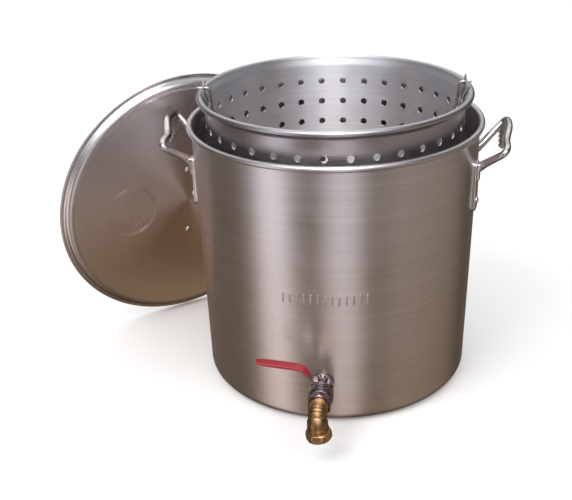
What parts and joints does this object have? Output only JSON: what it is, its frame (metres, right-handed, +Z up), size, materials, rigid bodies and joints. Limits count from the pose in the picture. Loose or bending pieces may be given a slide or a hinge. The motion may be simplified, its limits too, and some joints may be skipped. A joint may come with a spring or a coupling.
{
  "type": "brew kettle with drain valve and strainer basket",
  "caption": "Tall lidded stockpot-style brew kettle with a perforated lift-out basket and bail, loop handles, and a lever ball valve feeding a downturned brass spout.",
  "frame": {"origin": "centre of the pot's underside, on the floor plane", "axes": "+Z up along the pot's axis, -Y out of the pot along the drain valve, +X to the right-hand loop handle"},
  "size_m": [0.7268, 0.5886, 0.4755],
  "materials": {
    "pot_aluminium": "circumferentially brushed, warm grey",
    "basket_aluminium": "brushed, punched with round holes",
    "lid_aluminium": "spun, concentric brushing",
    "cast_aluminium": "cast and tumbled bright",
    "rivet_aluminium": "polished rivet heads",
    "wire_steel": "plated wire and strap",
    "nickel_plate": "dark nickel plate over brass",
    "plated_steel": "zinc plated",
    "brass": "cast brass with turned faces, lightly tarnished",
    "red_vinyl": "dipped vinyl",
    "seal_rubber": "moulded",
    "valve_seat": "fluoropolymer seat and packing"
  },
  "bodies": {
    "pot": {"pot_shell": "pot_aluminium", "handle_right": "cast_aluminium", "handle_left": "cast_aluminium", "handle_right_rivet_1": "rivet_aluminium", "handle_right_rivet_2": "rivet_aluminium", "handle_right_rivet_3": "rivet_aluminium", "handle_right_rivet_4": "rivet_aluminium", "handle_left_rivet_1": "rivet_aluminium", "handle_left_rivet_2": "rivet_aluminium", "handle_left_rivet_3": "rivet_aluminium", "handle_left_rivet_4": "rivet_aluminium", "inner_gasket": "seal_rubber", "inner_locknut": "brass", "bulkhead_nipple": "brass", "outer_gasket": "seal_rubber", "outer_washer": "plated_steel", "valve_body": "nickel_plate", "valve_end_cap": "nickel_plate", "seat_inlet": "valve_seat", "seat_outlet": "valve_seat", "stem_packing": "valve_seat", "gland_nut": "nickel_plate", "drain_elbow": "brass", "outlet_coupling": "brass"},
    "valve_stem_group": {"valve_ball": "plated_steel", "valve_stem": "plated_steel", "lever": "plated_steel", "lever_sleeve": "red_vinyl", "lever_nut": "plated_steel"},
    "basket": {"basket_shell": "basket_aluminium", "ear_right": "wire_steel", "ear_left": "wire_steel", "ear_right_rivet_1": "rivet_aluminium", "ear_right_rivet_2": "rivet_aluminium", "ear_left_rivet_1": "rivet_aluminium", "ear_left_rivet_2": "rivet_aluminium"},
    "bail": {"bail_wire": "wire_steel"},
    "lid": {"lid_disc": "lid_aluminium", "lid_handle": "cast_aluminium", "lid_rivet_1": "rivet_aluminium", "lid_rivet_2": "rivet_aluminium"}
  },
  "joints": [
    {"name": "valve_lever", "type": "hinge", "parent": "pot", "child": "valve_stem_group", "pos_m": [0, -0.246, 0.07], "axis": [0.108, 0, 0.9942], "range_deg": [0, 90]},
    {"name": "basket_lift", "type": "slide", "parent": "pot", "child": "basket", "axis": [0, 0, 1], "range_m": [0, 0.42]},
    {"name": "bail_swing", "type": "hinge", "parent": "basket", "child": "bail", "pos_m": [0, 0, 0.4635], "axis": [0.9919, 0.1271, 0], "range_deg": [-180, 180]},
    {"name": "lid_away", "type": "slide", "parent": "pot", "child": "lid", "axis": [-0.6031, 0.7851, 0.1409], "range_m": [0, 0.25]}
  ]
}
